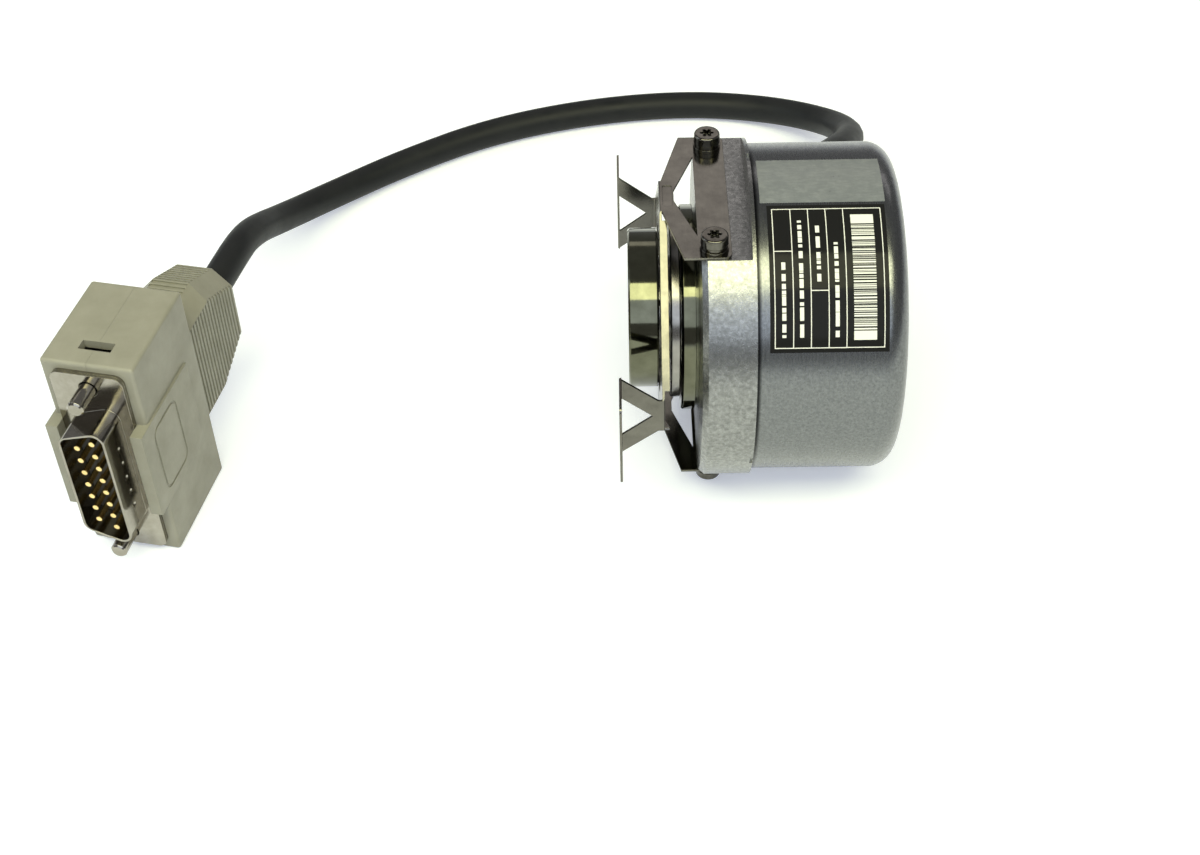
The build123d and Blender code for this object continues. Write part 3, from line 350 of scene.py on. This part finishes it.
CAST = Metal("cast_aluminium", (0.31, 0.315, 0.31), (0.165, 0.168, 0.165), (0.21, 0.36), depth=0.024,
             grain_scale=4.5, patch_scale=1.5, edge=0.05)
# The cap is painted near black just behind the flange's rear edge, as painted shade in the joint between
# them.
CAP = Metal("drawn_aluminium", (0.205, 0.212, 0.217), (0.135, 0.141, 0.146), (0.20, 0.33), Grain.BRUSHED,
            grain_scale=4.0, depth=0.012, patch_scale=2.2, edge=0.05, seam_shade=(22.35, 22.85))
RING = Metal("turned_steel", (0.135, 0.137, 0.097), (0.095, 0.096, 0.066), (0.06, 0.11), Grain.TURNED,
             grain_scale=5.0, depth=0.002)
GROUND = Metal("ground_steel", (0.30, 0.29, 0.27), (0.22, 0.21, 0.20), (0.16, 0.26), Grain.TURNED,
               depth=0.002)
SPRING = Metal("spring_steel", (0.165, 0.158, 0.138), (0.12, 0.114, 0.10), (0.12, 0.20), Grain.ROLLED,
               grain_scale=5.0, depth=0.002)
NICKEL = Metal("nickel", (0.36, 0.34, 0.30), (0.26, 0.24, 0.20), (0.09, 0.18), grain_scale=5.0)
BOLT = Metal("dark_nickel", (0.14, 0.134, 0.118), (0.08, 0.075, 0.064), (0.08, 0.16), grain_scale=4.0,
             patch_scale=0.8)
GOLD = Metal("gilt_contact", (0.86, 0.66, 0.30), (0.74, 0.55, 0.24), (0.14, 0.24))
BLACK_OXIDE = Moulded("black_oxide", (0.035, 0.035, 0.035), (0.05, 0.05, 0.05), (0.35, 0.5))
SEAL = Moulded("seal_rubber", (0.02, 0.02, 0.02), (0.03, 0.03, 0.03), (0.55, 0.7))
JACKET = Moulded("cable_jacket", (0.008, 0.009, 0.011), (0.013, 0.014, 0.016), (0.46, 0.58),
                 grain_scale=7.0, depth=0.006, specular=0.22)
GLAND = Moulded("relief_rubber", (0.016, 0.016, 0.017), (0.024, 0.024, 0.025), (0.5, 0.65), 6.0, 0.01)
HOOD = Moulded("hood_plastic", (0.28, 0.27, 0.23), (0.235, 0.227, 0.19), (0.42, 0.55), 6.0, 0.024)
DARK_PLASTIC = Moulded("dark_plastic", (0.03, 0.03, 0.03), (0.045, 0.045, 0.045), (0.4, 0.55))
CAGE = Moulded("cage_plastic", (0.42, 0.33, 0.20), (0.36, 0.28, 0.16), (0.4, 0.5))
BOARD = Moulded("solder_resist", (0.02, 0.13, 0.06), (0.03, 0.17, 0.08), (0.2, 0.3), 2.0, 0.01)


@dataclass(frozen=True)
class LabelFilm:
    """The rating label's film: black, with plain white rules and boxes and no lettering.

    Attributes:
        name: The finish's name.
        ink: The film's colour.
        paper: The rules' colour.
        start: The label's first edge along the shaft, in millimetres.
        low: Its lowest angle above the front, in degrees.
        across: Where the rules that run round the cap lie, in millimetres from the first edge.
        along: Where the rules along the shaft lie, in degrees from the lowest angle.
        across_width: The width of the rules round the cap, in millimetres.
        along_width: The width of the rules along the shaft, in degrees.
        dividers: Short rules along the shaft: where they start and end, and their angle.
        lines: Rows of plain dashes: their middle along the shaft, and the angles they start and end at.
        dash_height: The height of a dash, in millimetres.
        block: The block of bars: its ends along the shaft, and its lowest and highest angle.
        block_end: How many degrees at each end of the block are plain.
    """

    name: str = "label_film"
    ink: Colour = (0.012, 0.012, 0.013)
    paper: Colour = (0.72, 0.72, 0.70)
    start: float = 24.0
    low: float = 25.0
    across: tuple[float, ...] = (0.7, 3.6, 6.4, 9.2, 12.0, 17.96)
    along: tuple[float, ...] = (1.4, 48.3)
    across_width: float = 0.14
    along_width: float = 0.3
    dividers: tuple[Point, ...] = ((0.7, 3.6, 33.0), (6.4, 9.2, 20.0))
    lines: tuple[Point, ...] = ((2.2, 5.0, 30.0), (5.0, 5.0, 44.0), (7.8, 23.0, 42.0), (10.6, 5.0, 36.0))
    dash_height: float = 0.64
    block: tuple[float, float, float, float] = (13.2, 16.8, 4.0, 46.0)
    block_end: float = 3.0

    def material(self) -> bpy.types.Material:
        """Build the material from the place along the shaft and the angle round it.

        Returns:
            The new material.
        """
        graph = Graph(self.name)
        split = graph.node("ShaderNodeSeparateXYZ")
        graph.link(graph.place(), split.inputs["Vector"])
        along = graph.math("SUBTRACT", split.outputs["X"], self.start)
        front = graph.math("MULTIPLY", split.outputs["Y"], -1.0)
        angle = graph.math("MULTIPLY", graph.math("ARCTAN2", split.outputs["Z"], front), 180.0 / math.pi)
        turn = graph.math("SUBTRACT", angle, self.low)

        def within(value: Socket, low: float, high: float) -> Socket:
            """1 where a value lies in a range, else 0."""
            middle, half = (low + high) / 2, (high - low) / 2
            return graph.math("COMPARE", value, middle, half)

        def patch(along_low: float, along_high: float, turn_low: float, turn_high: float) -> Socket:
            """1 inside a rectangle on the label, else 0."""
            return graph.math(
                "MULTIPLY", within(along, along_low, along_high), within(turn, turn_low, turn_high)
            )

        frame_end, frame_top = self.across[-1] + self.across_width, self.along[-1] + self.along_width
        rules = [patch(self.across[0], frame_end, edge, edge + self.along_width) for edge in self.along]
        rules += [patch(edge, edge + self.across_width, self.along[0], frame_top) for edge in self.across]
        rules += [patch(start, end, edge, edge + self.along_width) for start, end, edge in self.dividers]
        print_on = rules[0]
        for rule in rules[1:]:
            print_on = graph.math("MAXIMUM", print_on, rule)
        for row, (middle, start, end) in enumerate(self.lines):
            dashes = graph.node("ShaderNodeTexNoise", noise_dimensions="1D")
            dashes.inputs["Scale"].default_value = 0.55
            graph.link(graph.math("ADD", turn, 31.0 * row), dashes.inputs["W"])
            cut = graph.math("GREATER_THAN", dashes.outputs["Fac"], 0.44)
            half = self.dash_height / 2
            line = graph.math("MULTIPLY", cut, patch(middle - half, middle + half, start, end))
            print_on = graph.math("MAXIMUM", print_on, line)
        bars = graph.node("ShaderNodeTexNoise", noise_dimensions="1D")
        bars.inputs["Scale"].default_value = 1.9
        bars.inputs["Detail"].default_value = 1.0
        graph.link(turn, bars.inputs["W"])
        gap = graph.math("LESS_THAN", bars.outputs["Fac"], 0.5)
        low, high = self.block[2:]
        first_end = within(turn, low, low + self.block_end)
        ends = graph.math("MAXIMUM", first_end, within(turn, high - self.block_end, high))
        block = graph.math("MULTIPLY", graph.math("MAXIMUM", gap, ends), patch(*self.block))
        print_on = graph.math("MAXIMUM", print_on, block)
        wear = graph.noise(graph.place(), 1.6, 5.0, 0.7)
        print_on = graph.math("MULTIPLY", print_on, graph.spread(wear, 0.75, 1.0, 0.25, 0.4))
        graph.colour(graph.mix(print_on, self.ink, self.paper))
        graph.roughness(graph.spread(wear, 0.06, 0.14))
        graph.normal(graph.bump(graph.noise(graph.place(), 0.5, 3.0, 0.5), 0.01 * MM))
        graph.set("Specular IOR Level", 0.06)
        return graph.material


@dataclass(frozen=True)
class StickerFilm:
    """The bare sticker's scuffed grey film.

    Attributes:
        name: The finish's name.
        colour: The film's colour.
        scuff: The colour where it is rubbed.
    """

    name: str = "sticker_film"
    colour: Colour = (0.15, 0.161, 0.18)
    scuff: Colour = (0.23, 0.243, 0.262)

    def material(self) -> bpy.types.Material:
        """Build the material.

        Returns:
            The new material.
        """
        graph = Graph(self.name)
        patches = graph.noise(graph.place(), 0.6, 6.0, 0.7)
        scratches = graph.noise(graph.place((0.25, 1.0, 1.0)), 2.4, 5.0, 0.7)
        worn = graph.math("MULTIPLY", patches, scratches)
        graph.colour(graph.mix(graph.spread(worn, 0.0, 1.0, 0.2, 0.5), self.colour, self.scuff))
        graph.roughness(graph.spread(patches, 0.25, 0.5))
        graph.normal(graph.bump(patches, 0.05 * MM))
        return graph.material


@dataclass(frozen=True)
class Glass:
    """Clear optical glass.

    Attributes:
        name: The finish's name.
        colour: Its tint.
    """

    name: str = "optical_glass"
    colour: Colour = (0.93, 0.96, 0.95)

    def material(self) -> bpy.types.Material:
        """Build the material.

        Returns:
            The new material.
        """
        graph = Graph(self.name)
        graph.set("Transmission Weight", 1.0)
        graph.set("IOR", 1.5)
        dust = graph.noise(graph.place(), 0.8, 4.0, 0.6)
        graph.colour(graph.mix(graph.spread(dust, 0.0, 1.0), self.colour, (0.88, 0.92, 0.91)))
        graph.roughness(graph.spread(dust, 0.02, 0.08))
        return graph.material


DRESS: dict[object, tuple[str, ...]] = {
    CAST: ("flange_housing",),
    CAP: ("rear_cap",),
    RING: ("clamping_ring", "bearing_cover", "outer_ring_spacer", "inner_ring_spacer", "disc_hub"),
    GROUND: (
        "hollow_shaft", "front_bearing_outer_ring", "rear_bearing_outer_ring", "front_bearing_inner_ring",
        "rear_bearing_inner_ring", "front_bearing_balls", "rear_bearing_balls",
    ),
    SPRING: ("stator_coupling", "retaining_ring"),
    BOLT: ("coupling_screws", "coupling_spring_washers", "coupling_washers"),
    NICKEL: (
        "board_posts", "board_screws",
        "shield_clamp", "connector_front_shell", "connector_rear_shell", "connector_cable_clip",
        "lock_screw_upper", "lock_screw_lower",
    ),
    GOLD: ("connector_pins",),
    BLACK_OXIDE: ("clamp_screw",),
    SEAL: ("shaft_seal", "cap_seal"),
    GLAND: ("cable_gland",),
    HOOD: ("connector_hood_right", "connector_hood_left"),
    DARK_PLASTIC: (
        "light_holder", "light_source", "detector_chip", "detector_header", "board_chips", "cable_header",
        "connector_insulator",
    ),
    CAGE: ("front_bearing_cage", "rear_bearing_cage"),
    BOARD: ("main_board", "detector_board"),
    LabelFilm(): ("rating_label",),
    StickerFilm(): ("dealer_sticker",),
    Glass(): ("graduated_disc", "scanning_reticle", "condenser_lens"),
}


@dataclass(frozen=True)
class Viewpoint:
    """The camera, fitted to the object's own edges.

    Attributes:
        place: Where it stands, in millimetres.
        pitch: Degrees below the horizon.
        yaw: Degrees to the left of straight on.
        roll: Degrees about its own line of sight.
        lens: Focal length for a 36 mm sensor.
        shift: Vertical shift, as a share of the width.
    """

    place: Point = (1.17, -227.11, 194.47)
    pitch: float = 41.8
    yaw: float = -1.15
    roll: float = -1.62
    lens: float = 51.54
    shift: float = -0.0688

    def build(self) -> bpy.types.Object:
        """Add the camera and make it the scene's.

        Returns:
            The camera.
        """
        pitch, yaw, roll = (math.radians(angle) for angle in (self.pitch, self.yaw, self.roll))
        ahead = Vector((math.sin(yaw) * math.cos(pitch), math.cos(yaw) * math.cos(pitch), -math.sin(pitch)))
        level = Vector((math.cos(yaw), -math.sin(yaw), 0.0))
        upright = level.cross(ahead)
        right = level * math.cos(roll) + upright * math.sin(roll)
        up = upright * math.cos(roll) - level * math.sin(roll)
        turn = Matrix((right, up, -ahead)).transposed().to_4x4()
        bpy.ops.object.camera_add()
        camera = bpy.context.object
        camera.name = "photo_camera"
        camera.matrix_world = Matrix.Translation(Vector(self.place) * MM) @ turn
        camera.data.lens = self.lens
        camera.data.sensor_width = 36.0
        camera.data.shift_y = self.shift
        camera.data.clip_start = 0.01
        bpy.context.scene.camera = camera
        return camera


@dataclass
class SignalCable:
    """The free cable from the gland to the plug.

    Attributes:
        radius: The jacket's radius in millimetres.
        length: Its real length in millimetres; not used.
        route: The points of its route in millimetres, as in the part's source.
        plug_nodes: The nodes that lie at its far end; not used.
    """

    radius: float = 3.0
    length: float = 258.4
    route: tuple[Point, ...] = (
        (38, 22.4, 0), (38, 42, 0), (46, 57.5, -7), (49.5, 73, -15), (45.5, 87.5, -21.5), (33.5, 98.3, -25.5),
        (15.2, 101.5, -26), (-7, 98.8, -26), (-28.5, 91.7, -26), (-46.5, 80.5, -26), (-60.5, 68, -25),
        (-69, 52.5, -19.5), (-72, 38, -11.5), (-73.09, 25.71, -8), (-77.24, 6.15, -8),
    )
    plug_nodes: tuple[str, ...] = (
        "connector_hood_right", "connector_hood_left", "connector_front_shell", "connector_rear_shell",
        "connector_insulator", "connector_pins", "connector_cable_clip", "lock_screw_upper",
        "lock_screw_lower",
    )

    def build(self) -> bpy.types.Object:
        """Lay the cable as one open spline with a round section.

        Returns:
            The curve.
        """
        curve = bpy.data.curves.new("signal_cable_jacket", "CURVE")
        curve.dimensions = "3D"
        spline = curve.splines.new("NURBS")
        spline.points.add(len(self.route) - 1)
        for control, point in zip(spline.points, self.route):
            control.co = (*(Vector(point) * MM), 1.0)
        spline.order_u = 3
        spline.use_endpoint_u = True
        spline.resolution_u = 12
        curve.bevel_depth = self.radius * MM
        curve.bevel_resolution = 6
        curve.use_fill_caps = True
        cable = bpy.data.objects.new("signal_cable_jacket", curve)
        bpy.context.scene.collection.objects.link(cable)
        curve.materials.append(JACKET.material())
        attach(cable, Body.HOUSING.value)
        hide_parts("signal_cable")
        return cable


@dataclass(frozen=True)
class Lamp:
    """One soft rectangular lamp that points at the encoder.

    Attributes:
        name: The lamp's name.
        place: Where it hangs, in millimetres.
        size: Its width and height in millimetres.
        power: Its power in watts.
        colour: Its colour.
    """

    name: str
    place: Point
    size: tuple[float, float]
    power: float
    colour: Colour

    def build(self) -> None:
        """Add the lamp."""
        bpy.ops.object.light_add(type="AREA")
        lamp = bpy.context.object
        lamp.name = self.name
        lamp.data.shape = "RECTANGLE"
        lamp.data.size, lamp.data.size_y = (part * MM for part in self.size)
        lamp.data.energy = self.power
        lamp.data.color = self.colour
        start = Vector(self.place) * MM
        turn = (-start).to_track_quat("-Z", "Y").to_matrix().to_4x4()
        lamp.matrix_world = Matrix.Translation(start) @ turn


LAMPS = (
    Lamp("warm_key", (0, -272, 535), (900, 250), 4.8, (1.0, 1.0, 0.62)),
    Lamp("cool_front", (0, -574, 400), (900, 420), 1.9, (0.80, 0.88, 1.0)),
    Lamp("back_strip", (60, 560, 425), (1100, 150), 0.5, (1.0, 0.93, 0.90)),
    Lamp("cool_left", (-620, 60, 330), (300, 500), 0.9, (0.80, 0.90, 1.0)),
)


@dataclass
class Studio:
    """The floor, the pale surroundings and the lamps.

    Attributes:
        floor_height: The floor's height in millimetres.
        floor_size: Its side in millimetres.
        floor_gap: How far it lies under the object, so that their faces don't meet.
        world_level: The world's strength.
        floor_glow: What the floor adds of its own where it is seen, so that it looks white.
        fade: How far out, in millimetres, the lamps' light on the floor begins and ends to fall off.
    """

    floor_height: float = -29.0
    floor_size: float = 4000.0
    floor_gap: float = 0.02
    world_level: float = 0.23
    floor_glow: float = 0.36
    fade: tuple[float, float] = (260.0, 1100.0)

    def floor(self) -> bpy.types.Object:
        """Lay a plain pale floor.

        Returns:
            The floor.
        """
        level = (self.floor_height - self.floor_gap) * MM
        bpy.ops.mesh.primitive_plane_add(size=self.floor_size * MM, location=(0, 0, level))
        floor = bpy.context.object
        floor.name = "studio_floor"
        graph = Graph("pale_floor")
        graph.colour(graph.mix(graph.noise(graph.place(), 0.02), (0.80, 0.82, 0.88), (0.79, 0.81, 0.87)))
        graph.set("Roughness", 0.7)
        graph.set("Emission Color", (0.88, 0.92, 1.0, 1.0))
        seen = graph.node("ShaderNodeLightPath")
        straight = graph.math("MAXIMUM", seen.outputs["Is Camera Ray"], seen.outputs["Is Glossy Ray"])
        any_way = graph.math("MAXIMUM", straight, seen.outputs["Is Transmission Ray"])
        glow = graph.math("MULTIPLY", any_way, self.floor_glow)
        away = graph.node("ShaderNodeVectorMath", operation="LENGTH")
        graph.link(graph.place(), away.inputs[0])
        far = graph.spread(away.outputs["Value"], 0.0, 1.0 - self.floor_glow, *self.fade)
        far_seen = graph.math("MULTIPLY", seen.outputs["Is Camera Ray"], far)
        graph.link(graph.math("ADD", glow, far_seen), graph.shader.inputs["Emission Strength"])
        floor.data.materials.append(graph.material)
        return floor

    def surroundings(self) -> None:
        """Set an even grey world that the camera sees as white."""
        world = bpy.data.worlds.new("studio_world")
        bpy.context.scene.world = world
        world.use_nodes = True
        back = world.node_tree.nodes["Background"]
        back.inputs["Color"].default_value = (1.0, 1.0, 1.0, 1.0)
        seen = world.node_tree.nodes.new("ShaderNodeLightPath")
        level = world.node_tree.nodes.new("ShaderNodeMapRange")
        level.inputs["To Min"].default_value = self.world_level
        level.inputs["To Max"].default_value = 1.0
        world.node_tree.links.new(seen.outputs["Is Camera Ray"], level.inputs["Value"])
        world.node_tree.links.new(level.outputs["Result"], back.inputs["Strength"])

    def build(self) -> None:
        """Build the floor, the world and the lamps, and set the plain view transform."""
        self.floor()
        self.surroundings()
        for lamp in LAMPS:
            lamp.build()
        bpy.context.scene.view_settings.view_transform = "Standard"


@dataclass
class Encoder:
    """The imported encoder's own nodes and their finishes."""

    def dress(self) -> int:
        """Give every node its finish.

        Returns:
            How many nodes were dressed.
        """
        dressed = 0
        for finish, names in DRESS.items():
            material = finish.material()
            for name in names:
                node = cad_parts[name]
                node.data.materials.clear()
                node.data.materials.append(material)
                dressed += 1
        return dressed


def main() -> None:
    """Build the view, the cable, the finishes and the studio in order."""
    Viewpoint().build()
    cable = SignalCable().build()
    log.info("cable %s", cable.name)
    log.info("dressed %d nodes", Encoder().dress())
    Studio().build()


if __name__ == "__main__":
    main()
